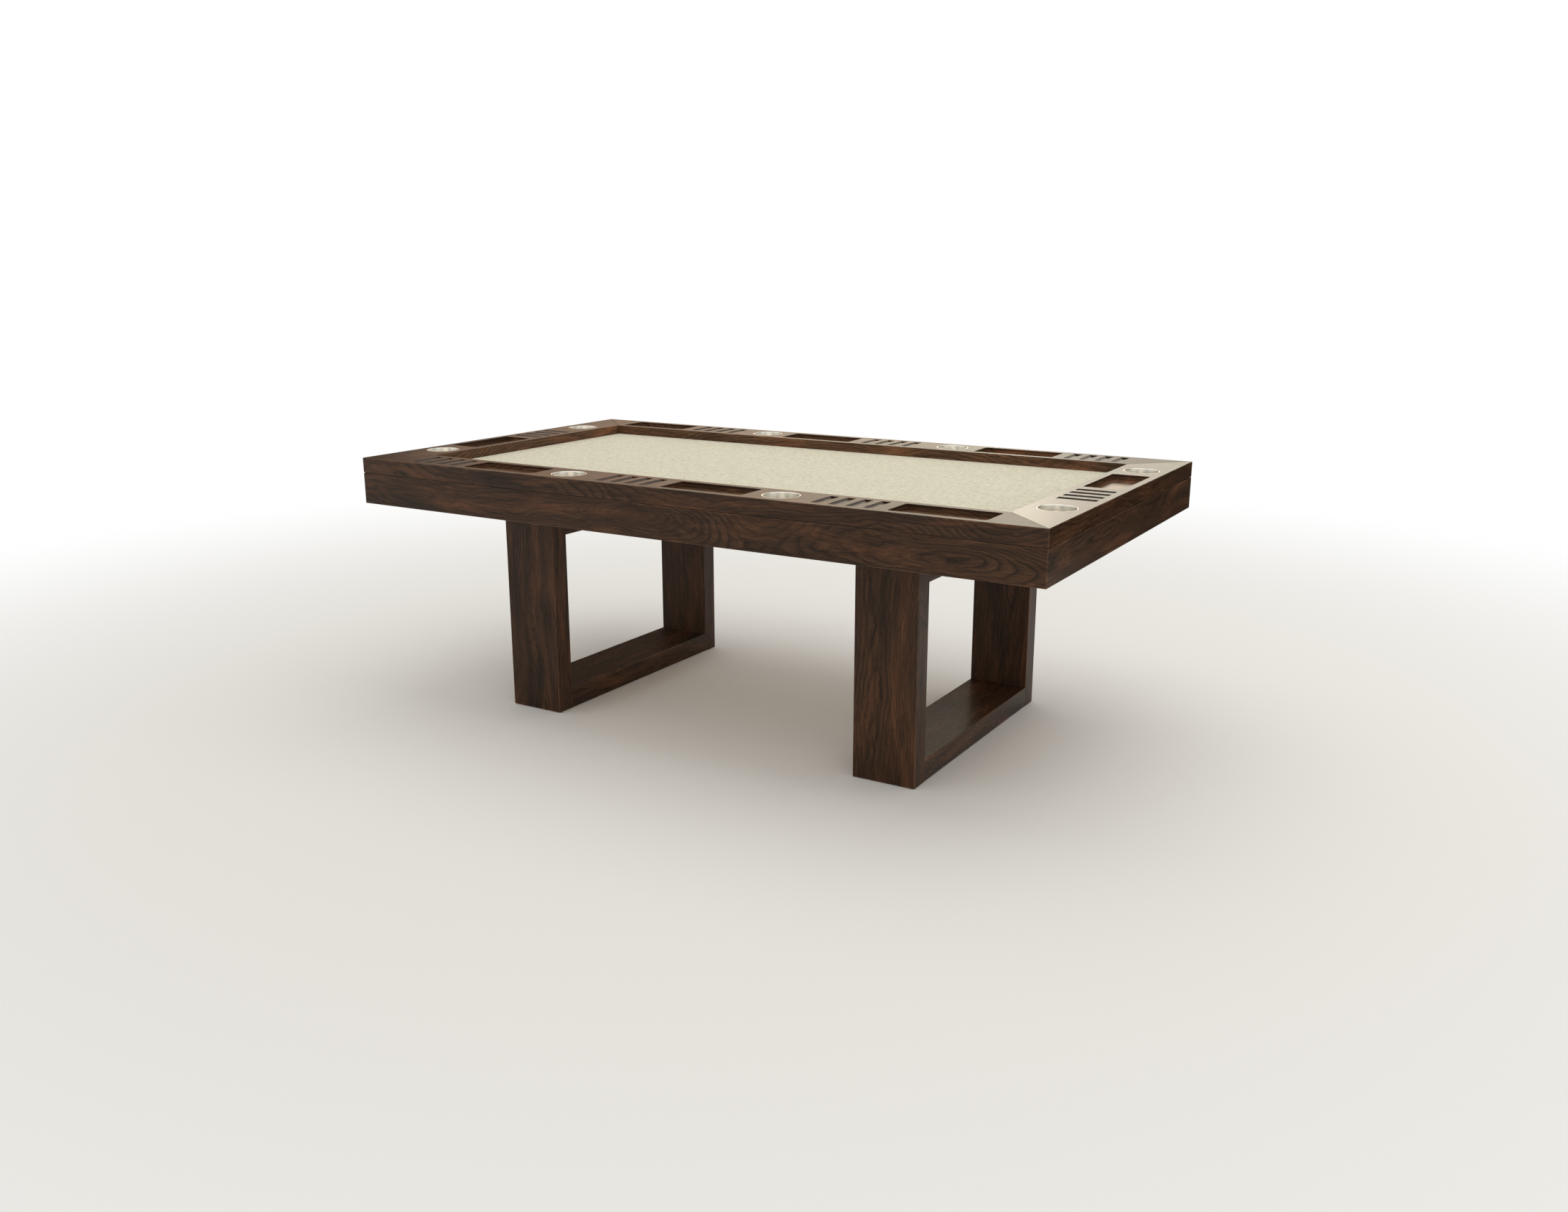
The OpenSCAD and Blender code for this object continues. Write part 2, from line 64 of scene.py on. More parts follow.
camera_data = bpy.data.cameras.new("camera")
camera_data.lens = LENS_MM
camera_data.sensor_fit = "HORIZONTAL"
camera_data.sensor_width = SENSOR_MM
camera = bpy.data.objects.new("camera", camera_data)
camera.location = EYE
camera.rotation_euler = (math.radians(TILT_DEG), 0.0, math.radians(TURN_DEG))
bpy.context.scene.collection.objects.link(camera)
bpy.context.scene.camera = camera
bpy.context.scene.view_settings.view_transform = "Standard"
print("camera at", EYE)

# %% [markdown]
# ## Colours and node trees
# Every finish is a node tree. Colours are written as they look on screen and turned into
# linear light here, because the shader works in linear light. An input of a node is either
# linked to another node or set to a plain value, and one small helper does both.

# %% Colours
WHITE = (1, 1, 1, 1)


def linear(value):
    """One screen value from 0 to 255, as linear light, by the curve that screens use."""
    share = value / 255.0
    return share / 12.92 if share <= 0.04045 else ((share + 0.055) / 1.055) ** 2.4


def colour(red, green, blue):
    """A screen colour as a linear colour with alpha."""
    return (linear(red), linear(green), linear(blue), 1.0)


def grey(level):
    """A grey of linear light with alpha."""
    return (level, level, level, 1)


print("middle grey of the screen as linear light:", round(linear(128), 3))


# %% Nodes and materials
def feed(tree, socket, value):
    """Links another node's output to an input, or sets the input to a plain value."""
    if isinstance(value, bpy.types.NodeSocket):
        tree.links.new(value, socket)
    else:
        socket.default_value = value


def add(tree, kind, inputs=None, **settings):
    """A new node with its settings, and its inputs by their name or number."""
    made = tree.nodes.new(kind)
    for name, value in settings.items():
        setattr(made, name, value)
    for name, value in (inputs or {}).items():
        feed(tree, made.inputs[name], value)
    return made


def new_material(name, **inputs):
    """A material, its tree and its surface shader."""
    material = bpy.data.materials.new(name)
    material.use_nodes = True
    tree = material.node_tree
    shader = tree.nodes["Principled BSDF"]
    for key, value in inputs.items():
        shader.inputs[key.replace("_", " ")].default_value = value
    return material, tree, shader


def object_place(tree):
    """Where a point lies on its object, in metres."""
    return add(tree, "ShaderNodeTexCoord").outputs["Object"]


def numbers(tree, kind, *values):
    """What a Math node makes of some numbers."""
    return add(tree, "ShaderNodeMath", dict(enumerate(values)), operation=kind).outputs[0]


def vectors(tree, kind, *values):
    """What a Vector Math node makes of some vectors. A dot product or a length is a number."""
    made = add(tree, "ShaderNodeVectorMath", dict(enumerate(values)), operation=kind)
    return made.outputs["Value" if kind in ("DOT_PRODUCT", "LENGTH") else "Vector"]


def mapped(tree, value, source, target, kind="LINEAR"):
    """A number moved from one range into another, and kept inside it."""
    made = add(tree, "ShaderNodeMapRange", {
        "Value": value, "From Min": source[0], "From Max": source[1],
        "To Min": target[0], "To Max": target[1]}, interpolation_type=kind)
    return made.outputs["Result"]


print("helpers for nodes ready")

# %% [markdown]
# ## Noise, ramps and mixes
# Most natural finishes are noise that picks a colour from a ramp, laid over the colour
# below it. The noise counts its lumps a metre along each axis, so that it can be drawn
# out along the grain of a board.


# %% Noise, ramps, mixes and relief
def noise(tree, vector, lumps, detail, roughness, output="Fac"):
    """Noise with so many lumps a metre along each axis."""
    made = add(tree, "ShaderNodeTexNoise", {
        "Vector": vectors(tree, "MULTIPLY", vector, lumps),
        "Scale": 1.0, "Detail": detail, "Roughness": roughness})
    return made.outputs[output]


def even_noise(tree, vector, lumps, detail, roughness):
    """Noise whose lumps are as long each way."""
    return noise(tree, vector, (lumps, lumps, lumps), detail, roughness)


def ramp(tree, factor, stops):
    """A colour ramp with a stop for each (position, colour)."""
    made = add(tree, "ShaderNodeValToRGB", {"Fac": factor})
    elements = made.color_ramp.elements
    elements[0].position, elements[0].color = stops[0]
    elements[1].position, elements[1].color = stops[-1]
    for position, shade in stops[1:-1]:
        elements.new(position).color = shade
    return made.outputs["Color"]


def mix(tree, kind, factor, first, second):
    """Two colours mixed by a factor."""
    made = add(tree, "ShaderNodeMix", data_type="RGBA", blend_type=kind)
    inputs = {socket.identifier: socket for socket in made.inputs}
    for key, value in (("Factor_Float", factor), ("A_Color", first), ("B_Color", second)):
        feed(tree, inputs[key], value)
    return next(socket for socket in made.outputs if socket.identifier == "Result_Color")


def tinted(tree, factor, stops, base):
    """A colour multiplied by what a ramp gives for a factor."""
    return mix(tree, "MULTIPLY", 1.0, base, ramp(tree, factor, stops))


def blended(tree, factor, change, base, shade):
    """A colour that turns into another while a factor rises, up to a strength."""
    start, end, strength = change
    amount = ramp(tree, factor, [(start, grey(0)), (end, grey(strength))])
    return mix(tree, "MIX", amount, base, shade)


def bump(tree, shader, height, distance, strength):
    """Relief on a surface from a height, with its depth in metres."""
    made = add(tree, "ShaderNodeBump", {
        "Height": height, "Distance": distance, "Strength": strength})
    tree.links.new(made.outputs["Normal"], shader.inputs["Normal"])


print("helpers for patterns ready")

# %% [markdown]
# ## Walnut: growth rings
# A board shows cathedral figure where its face cuts the tree's growth rings at a low angle.
# A picture of wood would repeat, and would break at a board's edges. So the rings are drawn
# as they grew, as saw-toothed shells round a pith that wanders, and each board gets its own
# place in the tree. All its faces then cut the same rings.

# %% Growth rings
GRAIN_TURNS = {
    "X": (0.0, 0.0, 0.0),
    "Y": (0.0, 0.0, -math.pi / 2),
    "Z": (0.0, math.pi / 2, 0.0),
}
WAVE_RADIANS = 20  # A wave texture of scale 1 runs through so many radians a metre
RING_M = 0.0080
FINE_LINES_A_RING = 3.3
TAPER_RINGS = 30.0
WANDER_M = 0.12
CURL_M = 0.020
# Each noise: lumps a metre along and across the grain, detail and roughness
WANDER_NOISE = (1.6, 4.0, 1.0, 0.5)
CURL_NOISE = (9.0, 15.0, 3.0, 0.6)
TAPER_NOISE = (1.5, 1.5, 1.0, 0.5)
LATEWOOD = colour(30, 21, 15)
DARK_HEART = colour(46, 33, 22)
HEARTWOOD = colour(62, 43, 29)
LIGHT_HEART = colour(76, 52, 35)
RING_SHADES = [
    (0.0, LATEWOOD), (0.09, DARK_HEART), (0.26, HEARTWOOD),
    (0.70, LIGHT_HEART), (0.95, HEARTWOOD), (1.0, DARK_HEART)]


def grain_turn(grain):
    """The turn that brings a board's grain onto X."""
    _, about_y, about_z = GRAIN_TURNS[grain]
    return Matrix.Rotation(about_z, 3, "Z") @ Matrix.Rotation(about_y, 3, "Y")


def place_in_tree(tree, place, grain, middle, pith, seed):
    """Where a point of a board lies in the tree, with the grain along X."""
    turned = grain_turn(grain) @ middle
    mean_shift = (WANDER_M + CURL_M) / 2
    turn = add(tree, "ShaderNodeMapping", {"Vector": place, "Rotation": GRAIN_TURNS[grain],
        "Location": (seed, pith[0] - turned.y - mean_shift, pith[1] - turned.z - mean_shift)})
    return turn.outputs["Vector"]


def grain_noise(tree, vector, kind, output="Fac"):
    """Noise that is drawn out along the grain."""
    lengthwise, crosswise, detail, roughness = kind
    return noise(tree, vector, (lengthwise, crosswise, crosswise), detail, roughness, output)


def curled_place(tree, along):
    """The place in the tree, bent as the stem wandered and the fibres curled."""
    wander = grain_noise(tree, along, WANDER_NOISE, "Color")
    bent = vectors(tree, "MULTIPLY_ADD", wander, (0.0, WANDER_M, WANDER_M), along)
    curl = grain_noise(tree, along, CURL_NOISE, "Color")
    return vectors(tree, "MULTIPLY_ADD", curl, (0.0, CURL_M, CURL_M), bent)


def ring_wave(tree, vector, offset, spacing):
    """Growth rings round the grain, as a saw tooth that starts at each latewood line."""
    made = add(tree, "ShaderNodeTexWave", {"Vector": vector, "Phase Offset": offset,
        "Scale": 2 * math.pi / (WAVE_RADIANS * spacing)},
        wave_type="RINGS", rings_direction="X", wave_profile="SAW")
    return made.outputs["Fac"]


print("rings", RING_M * 1000, "mm apart")

# %% [markdown]
# ## Walnut: tone, fibre and pores
# Fresh rings alone would look printed. In the real wood they fade in places, the heartwood
# turns darker, redder or smoky over a hand's breadth, and fine fibres and open pores run
# along it. Each of these is noise in the same tree, laid over the rings one after another.

# %% Tone, fibre and pores
WORN_NOISE = (5.0, 34.0, 3.0, 0.6)
TONE_NOISE = (2.2, 13.0, 3.0, 0.6)
RED_NOISE = (3.4, 26.0, 2.0, 0.5)
SMOKE_NOISE = (2.4, 17.0, 2.0, 0.5)
STREAK_NOISE = (3.5, 120.0, 3.0, 0.6)
FIBRE_NOISE = (9.0, 300.0, 4.0, 0.75)
PORE_NOISE = (38.0, 1500.0, 1.0, 0.4)
# Each change of tone: the noise at which it starts and ends, and its strength
WORN_CHANGE = (0.42, 0.66, 0.60)
DARK_CHANGE = (0.46, 0.70, 0.60)
RED_CHANGE = (0.50, 0.72, 0.65)
SMOKE_CHANGE = (0.56, 0.72, 0.75)
RED_STREAK = colour(97, 63, 41)
SMOKE = colour(35, 26, 17)
FINE_LINE_SHADES = [
    (0.0, (0.80, 0.78, 0.76, 1)), (0.3, grey(0.98)),
    (0.9, (1.08, 1.07, 1.06, 1)), (1.0, (0.86, 0.85, 0.84, 1))]
STREAK_SHADES = [(0.36, (0.76, 0.74, 0.72, 1)), (0.50, WHITE), (0.64, (1.20, 1.18, 1.16, 1))]
FIBRE_SHADES = [(0.30, grey(0.60)), (0.70, (1.40, 1.38, 1.36, 1))]
PORE_SHADES = [(0.28, grey(0.55)), (0.38, WHITE)]


def ringed_wood(tree, along, curled):
    """Growth rings that fade in places, with finer lines between them."""
    grown = numbers(tree, "MULTIPLY", grain_noise(tree, along, TAPER_NOISE),
        2 * math.pi * TAPER_RINGS)
    figure = ramp(tree, ring_wave(tree, curled, grown, RING_M), RING_SHADES)
    faded = blended(tree, grain_noise(tree, along, WORN_NOISE), WORN_CHANGE, figure, HEARTWOOD)
    fine_lines = ring_wave(tree, curled, grown, RING_M / FINE_LINES_A_RING)
    return tinted(tree, fine_lines, FINE_LINE_SHADES, faded)


def toned_wood(tree, along, curled, wood):
    """Wood with its slow changes to dark, to red and to smoke."""
    tone = grain_noise(tree, along, TONE_NOISE)
    red = grain_noise(tree, curled, RED_NOISE)
    smoke = grain_noise(tree, curled, SMOKE_NOISE)
    toned = blended(tree, tone, DARK_CHANGE, wood, DARK_HEART)
    reddened = blended(tree, red, RED_CHANGE, toned, RED_STREAK)
    return blended(tree, smoke, SMOKE_CHANGE, reddened, SMOKE)


def fibred_wood(tree, along, curled, fibre, wood):
    """Wood with its streaks, its fibre and its open pores."""
    streaked = tinted(tree, grain_noise(tree, curled, STREAK_NOISE), STREAK_SHADES, wood)
    fibred = tinted(tree, fibre, FIBRE_SHADES, streaked)
    return tinted(tree, grain_noise(tree, along, PORE_NOISE), PORE_SHADES, fibred)


print("fine lines", round(RING_M / FINE_LINES_A_RING * 1000, 1), "mm apart")

# %% [markdown]
# ## Walnut: wear and painted light
# Handling rubs the edges of a board a little lighter, and the lighter edges also stand in for
# the highlight that the eased edges catch: wear and painted highlight together. The trays and
# the rail's inner faces are drawn lighter as painted light, and the grooves darker as painted
# shade. The boards keep their own meshes, so these places are found from a point's distance to
# its board's box, and no edge has to be marked by hand.

# %% Wear and painted light
EDGE_M = 0.0014
# Lighter edges: wear, and a painted highlight where the eased edges catch the light
EDGE_WEAR_AND_HIGHLIGHT_TINT = (1.6, 1.75, 1.9, 1)
# Painted light in the trays and on the rail's inner faces
PAINTED_LIGHT_TINT = (2.3, 2.4, 2.6, 1)
# Painted shade in the grooves
GROOVE_SHADE_TINT = (0.42, 0.42, 0.42, 1)
RAIL_WIDTH = 0.150
TRAY_EDGE_M = 0.020
# Depths below the rail's top at which the painted light is full, and at which it ends
TRAY_DEPTHS = (0.0075, 0.004)
INNER_FACE_DEPTHS = (0.003, 0.001)
# Depths between which a groove's floor lies, and the least upward slope of that floor
GROOVE_DEPTHS = (0.0013, 0.0045)
GROOVE_SLOPE = 0.15


def fade(tree, value, full, none):
    """1 where a value is at full, 0 where it is at none, and a slope between."""
    return mapped(tree, value, (full, none), (1.0, 0.0))


def between(tree, value, low, high):
    """1 where a value lies between two others, and 0 elsewhere."""
    return numbers(tree, "MULTIPLY", numbers(tree, "GREATER_THAN", value, low),
        numbers(tree, "LESS_THAN", value, high))


def worn_and_highlit_edges(tree, place, low, high):
    """1 along the edges of a board's box, where two faces are near, and 0 elsewhere."""
    off_middle = vectors(tree, "SUBTRACT", place, (low + high) / 2)
    depth = vectors(tree, "SUBTRACT", (high - low) / 2, vectors(tree, "ABSOLUTE", off_middle))
    x, y, z = add(tree, "ShaderNodeSeparateXYZ", {0: depth}).outputs
    nearer, farther = numbers(tree, "MINIMUM", x, y), numbers(tree, "MAXIMUM", x, y)
    second_nearest = numbers(tree, "MAXIMUM", nearer, numbers(tree, "MINIMUM", farther, z))
    return fade(tree, second_nearest, EDGE_M, 2 * EDGE_M)


def rail_finish(tree, place, outward, low, high, wood):
    """A top rail's wood, with painted light in its trays and on its inner face, and painted
    shade in its grooves.
    """
    outer_face = max(outward.dot(low), outward.dot(high))
    inward = numbers(tree, "SUBTRACT", outer_face, vectors(tree, "DOT_PRODUCT", place, outward))
    height = add(tree, "ShaderNodeSeparateXYZ", {0: place}).outputs["Z"]
    below_top = numbers(tree, "SUBTRACT", high.z, height)
    tray_band = between(tree, inward, TRAY_EDGE_M, RAIL_WIDTH - TRAY_EDGE_M)
    trays = numbers(tree, "MULTIPLY", tray_band, fade(tree, below_top, *TRAY_DEPTHS))
    near_cloth = numbers(tree, "GREATER_THAN", inward, RAIL_WIDTH - EDGE_M)
    inner_face = numbers(tree, "MULTIPLY", near_cloth, fade(tree, below_top, *INNER_FACE_DEPTHS))
    # Painted light: the trays and the inner face drawn lighter
    painted_light = numbers(tree, "MAXIMUM", trays, inner_face)
    lighter = mix(tree, "MULTIPLY", painted_light, wood, PAINTED_LIGHT_TINT)
    # Painted shade: the floors of the grooves drawn darker
    normal = add(tree, "ShaderNodeNewGeometry").outputs["Normal"]
    upward = add(tree, "ShaderNodeSeparateXYZ", {0: normal}).outputs["Z"]
    shallow = numbers(tree, "MULTIPLY", tray_band, between(tree, below_top, *GROOVE_DEPTHS))
    grooves = numbers(tree, "MULTIPLY", shallow,
        numbers(tree, "GREATER_THAN", upward, GROOVE_SLOPE))
    return mix(tree, "MULTIPLY", grooves, lighter, GROOVE_SHADE_TINT)


print("edges worn over", EDGE_M * 1000, "mm")

# %% [markdown]
# ## Walnut: the boards
# A joiner picks each board for its place, and no two are alike. So each board has its own
# row: its grain, where its pith lies across the grain from its middle, how far along the
# tree it was cut, and its roughness. The right rail was rubbed to the highest sheen.

# %% Walnut boards
FIBRE_RELIEF_M = 0.0002
FIBRE_BUMP = 0.05
SHEEN_SPREAD = (-0.02, 0.04)
BOARDS = {
    "top_rail_front": ("X", (-0.02, 0.07), 0.0, 0.31),
    "top_rail_back": ("X", (0.02, 0.06), 3.1, 0.29),
    "top_rail_right": ("Y", (0.02, 0.06), 5.3, 0.22),
    "top_rail_left": ("Y", (-0.02, 0.07), 7.9, 0.30),
    "apron_front": ("X", (0.045, 0.005), 11.2, 0.34),
    "apron_back": ("X", (-0.045, -0.01), 13.7, 0.34),
    "apron_right": ("Y", (0.045, -0.015), 17.4, 0.34),
    "apron_left": ("Y", (-0.045, 0.01), 19.8, 0.34),
    "left_front_post": ("Z", (0.06, 0.01), 23.1, 0.36),
    "left_back_post": ("Z", (0.06, -0.01), 26.6, 0.36),
    "right_front_post": ("Z", (0.06, -0.02), 29.2, 0.36),
    "right_back_post": ("Z", (0.06, 0.01), 31.5, 0.36),
    "left_foot_rail": ("Y", (0.01, -0.07), 34.3, 0.26),
    "right_foot_rail": ("Y", (-0.01, -0.07), 37.7, 0.26),
    "left_head_rail": ("Y", (0.01, 0.07), 41.9, 0.36),
    "right_head_rail": ("Y", (-0.01, 0.07), 43.4, 0.36),
}
OUTWARD = {
    "top_rail_front": Vector((0, -1, 0)), "top_rail_back": Vector((0, 1, 0)),
    "top_rail_right": Vector((1, 0, 0)), "top_rail_left": Vector((-1, 0, 0)),
}


def walnut(name, board, low, high, outward=None):
    """Oiled walnut for one board. A top rail also says which way is outward."""
    grain, pith, seed, roughness = board
    material, tree, shader = new_material(name, Roughness=roughness, Specular_IOR_Level=0.15)
    place = object_place(tree)
    along = place_in_tree(tree, place, grain, (low + high) / 2, pith, seed)
    curled = curled_place(tree, along)
    fibre = grain_noise(tree, curled, FIBRE_NOISE)
    wood = toned_wood(tree, along, curled, ringed_wood(tree, along, curled))
    wood = fibred_wood(tree, along, curled, fibre, wood)
    # Lighter edges: wear, and a painted highlight along the eased edges
    wood = mix(tree, "MULTIPLY", worn_and_highlit_edges(tree, place, low, high), wood, EDGE_WEAR_AND_HIGHLIGHT_TINT)
    # A top rail also gets painted light in its trays and painted shade in its grooves
    if outward is not None:
        wood = rail_finish(tree, place, outward, low, high, wood)
    tree.links.new(wood, shader.inputs["Base Color"])
    sheen = mapped(tree, fibre, (0.0, 1.0), [roughness + change for change in SHEEN_SPREAD])
    tree.links.new(sheen, shader.inputs["Roughness"])
    bump(tree, shader, fibre, FIBRE_RELIEF_M, FIBRE_BUMP)
    return material


def dress(node, material):
    """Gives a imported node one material."""
    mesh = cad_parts[node].data
    mesh.materials.clear()
    mesh.materials.append(material)


for node, board in BOARDS.items():
    low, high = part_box(node)
    dress(node, walnut("walnut_" + node, board, low, high, OUTWARD.get(node)))
print("walnut boards:", len(BOARDS))

# %% [markdown]
# ## Plain woods, foam, zinc and nylon
# These pieces are seen only from below or when the panel is lifted out. Beech is pale and
# even, with short flecks. Plywood shows its layers on the edge. Zinc plating is a dull metal.
# Streaks and flecks along the grain are enough for the woods, and one fine noise for the rest.

# %% Materials of the hidden pieces
PALE_STREAKS = (2.5, 60.0, 4.0, 0.6)
PALE_FLECKS = (90.0, 900.0, 1.0, 0.5)
FLECK_SHADES = [(0.30, (0.80, 0.77, 0.74, 1)), (0.42, WHITE)]
PALE_RELIEF_M = 0.0003
PALE_BUMP = 0.10
PLY_SHADES = [(0.35, (0.72, 0.68, 0.62, 1)), (0.6, WHITE)]
PLY_M = 0.0015
# Detail and roughness of the fine noise
SPECKLE_NOISE = (3.0, 0.6)
SPECKLE_RELIEF_M = 0.0002
SPECKLE_BUMP = 0.15


def pale_wood(name, grain, base, dark, layers=0.0):
    """Bare pale wood. With layers, its edge shows plies of that thickness."""
    material, tree, shader = new_material(name, Roughness=0.62)
    place = object_place(tree)
    along = add(tree, "ShaderNodeMapping", {
        "Vector": place, "Rotation": GRAIN_TURNS[grain]}).outputs["Vector"]
    streaks = grain_noise(tree, along, PALE_STREAKS)
    body = ramp(tree, streaks, [(0.3, dark), (0.7, base)])
    wood = tinted(tree, grain_noise(tree, along, PALE_FLECKS), FLECK_SHADES, body)
    if layers:
        plies = add(tree, "ShaderNodeTexWave", {
            "Vector": place, "Scale": math.pi / (WAVE_RADIANS * layers)},
            wave_type="BANDS", bands_direction="Z", wave_profile="TRI")
        wood = tinted(tree, plies.outputs["Fac"], PLY_SHADES, wood)
    tree.links.new(wood, shader.inputs["Base Color"])
    bump(tree, shader, streaks, PALE_RELIEF_M, PALE_BUMP)
    return material


def speckled(name, base, dark, lumps, **inputs):
    """A plain material with a fine uneven tone."""
    material, tree, shader = new_material(name, **inputs)
    grains = even_noise(tree, object_place(tree), lumps, *SPECKLE_NOISE)
    tone = ramp(tree, grains, [(0.35, dark), (0.65, base)])
    tree.links.new(tone, shader.inputs["Base Color"])
    bump(tree, shader, grains, SPECKLE_RELIEF_M, SPECKLE_BUMP)
    return material


BEECH = colour(205, 172, 132)
BEECH_DARK = colour(184, 148, 108)
beech = {grain: pale_wood("beech_" + grain, grain, BEECH, BEECH_DARK) for grain in "XY"}
plywood = pale_wood("plywood", "X", colour(214, 186, 146), colour(193, 161, 120), layers=PLY_M)
foam_sheet = speckled("foam_sheet", colour(226, 220, 196), colour(206, 199, 172), 700.0,
    Roughness=0.95)
zinc = speckled("zinc_plate", colour(178, 180, 182), colour(150, 153, 157), 160.0,
    Metallic=1.0, Roughness=0.38)
nylon = speckled("black_nylon", colour(38, 38, 40), colour(26, 26, 28), 900.0, Roughness=0.48)
print("hidden finishes:", len(beech) + len((plywood, foam_sheet, zinc, nylon)))

# %% Dress the hidden pieces
HIDDEN = [
    (beech["Y"], ("cross_beam_left", "cross_beam_right", "trestle_tenons")),
    (beech["X"], ("stringer_front", "stringer_back", "end_stringers", "corner_blocks",
        "rail_cleats", "mitre_tenons")),
    (plywood, ("deck", "playing_board")),
    (zinc, ("corner_screws", "cleat_screws", "deck_screws", "beam_brackets",
        "bracket_screws", "trestle_bolts", "bolt_washers", "threaded_inserts",
        "glide_screws")),
    (foam_sheet, ("foam_pad",)),
    (nylon, ("floor_glides",)),
]
for finish, nodes in HIDDEN:
    for node in nodes:
        dress(node, finish)
print("hidden nodes dressed:", sum(len(nodes) for _, nodes in HIDDEN))

# %% [markdown]
# ## Playing cloth: its shape
# The cloth is one sheet, stretched over foam and wrapped round the board's edge. A flat
# plate would show a hard corner, so the sheet is a grid whose rim is bent down over the
# foam with a soft roll, and Solidify gives it its thickness inwards. A cloth that is
# stretched over a flat board has no folds, so it needs no simulation.

# %% Cloth sheet
CLOTH_T = 0.0015
ROLL_R = 0.0045
ROLL_STEPS = 6
SHEET_COLUMNS = 48
SHEET_ROWS = 24
TOUCH_M = 1e-5


def rounded_sheet(low, high, radius, steps):
    """A flat top whose rim turns down round a radius and ends in a straight skirt."""
    middle = (low + high) / 2
    flat = (high.x - low.x - 2 * radius, high.y - low.y - 2 * radius)
    sheet = bmesh.new()
    bmesh.ops.create_grid(sheet, x_segments=SHEET_COLUMNS, y_segments=SHEET_ROWS, size=0.5)
    bmesh.ops.scale(sheet, vec=(flat[0], flat[1], 1.0), verts=sheet.verts)
    bmesh.ops.translate(sheet, vec=(middle.x, middle.y, high.z), verts=sheet.verts)
    rim = [edge for edge in sheet.edges if edge.is_boundary]
    turns = [math.pi / 2 * step / steps for step in range(1, steps + 1)]
    drops = [(radius * math.sin(turn), radius * (1 - math.cos(turn))) for turn in turns]
    drops.append((radius, high.z - low.z))
    out_before, down_before = 0.0, 0.0
    for out, down in drops:
        grown = bmesh.ops.extrude_edge_only(sheet, edges=rim)["geom"]
        rim = [part for part in grown
            if isinstance(part, bmesh.types.BMEdge) and part.is_boundary]
        for vert in {vert for edge in rim for vert in edge.verts}:
            for axis in (0, 1):
                off_middle = vert.co[axis] - middle[axis]
                if abs(off_middle) > flat[axis] / 2 + out_before - TOUCH_M:
                    vert.co[axis] += math.copysign(out - out_before, off_middle)
            vert.co.z -= down - down_before
        out_before, down_before = out, down
    bmesh.ops.recalc_face_normals(sheet, faces=sheet.faces)
    return sheet


def piece(name, shape, material, smooth=True):
    """An object at the origin from a bmesh, with one material."""
    mesh = bpy.data.meshes.new(name)
    shape.to_mesh(mesh)
    shape.free()
    mesh.materials.append(material)
    made = bpy.data.objects.new(name, mesh)
    bpy.context.scene.collection.objects.link(made)
    for face in mesh.polygons:
        face.use_smooth = smooth
    return made


print("cloth rolls over an edge of", ROLL_R * 1000, "mm")

# %% [markdown]
# ## Playing cloth: its nap
# Napped cloth is felted from fibres of mixed tone, so from near it looks mottled and from
# a low angle it has a soft bloom. A coarse noise mixes the tones, a fine one draws the
# fibres and gives a little relief, and the shader's sheen gives the bloom.

# %% Cloth material and piece
CLOTH_DARK = colour(190, 184, 160)
CLOTH_MID = colour(217, 211, 186)
CLOTH_LIGHT = colour(237, 231, 208)
# Each noise: lumps a metre, detail and roughness
MOTTLE_NOISE = (95.0, 4.0, 0.7)
NAP_NOISE = (620.0, 3.0, 0.7)
NAP_SHADES = [(0.30, (0.86, 0.86, 0.84, 1)), (0.65, grey(1.06))]
NAP_RELIEF_M = 0.0006
NAP_BUMP = 0.35


def cloth_material():
    """Napped gaming cloth: felted fibres of mixed tone, with a soft bloom at low angles."""
    material, tree, shader = new_material("playing_cloth_nap", Roughness=0.92,
        Sheen_Weight=0.25, Sheen_Roughness=0.5)
    place = object_place(tree)
    mottle = even_noise(tree, place, *MOTTLE_NOISE)
    body = ramp(tree, mottle, [(0.30, CLOTH_DARK), (0.48, CLOTH_MID), (0.70, CLOTH_LIGHT)])
    nap = even_noise(tree, place, *NAP_NOISE)
    tree.links.new(tinted(tree, nap, NAP_SHADES, body), shader.inputs["Base Color"])
    bump(tree, shader, nap, NAP_RELIEF_M, NAP_BUMP)
    return material


cloth_low, cloth_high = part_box("playing_cloth")
cloth_shape = rounded_sheet(cloth_low, cloth_high, ROLL_R, ROLL_STEPS)
cloth = piece("playing_cloth_sheet", cloth_shape, cloth_material())
thick = cloth.modifiers.new("thickness", "SOLIDIFY")
thick.thickness = CLOTH_T
thick.offset = -1.0
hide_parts("playing_cloth")
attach(cloth, "playing_panel")

# %% [markdown]
# ## Cup liners: their shape
# A liner is pressed from sheet steel, so every edge is a bend and not a corner. Its half
# section is a chain of points, spun once round the cup's axis. The rim rolls over into the
# flange, the wall turns into the floor round a foot, and a low ring stiffens the floor.

# %% Liner shape
LINER_R = 0.0476
LINER_WALL = 0.0009
FLANGE_T = 0.0012
RIM_ROLL = 0.0016
RIM_STEPS = 6
NECK_R = 0.0006
NECK_STEPS = 3
FOOT_R = 0.008
FOOT_STEPS = 8
RING_R = 0.030
RING_SLOPE = 0.003
RING_WIDTH = 0.002
RING_RISE = 0.0008
SPIN_STEPS = 96
MERGE_M = 1e-6


def arc(centre, radius, first, last, steps):
    """Points (radius, height) on an arc, with its angles in degrees."""
    turns = [math.radians(first + (last - first) * i / steps) for i in range(steps + 1)]
    return [(centre[0] + radius * math.cos(t), centre[1] + radius * math.sin(t)) for t in turns]


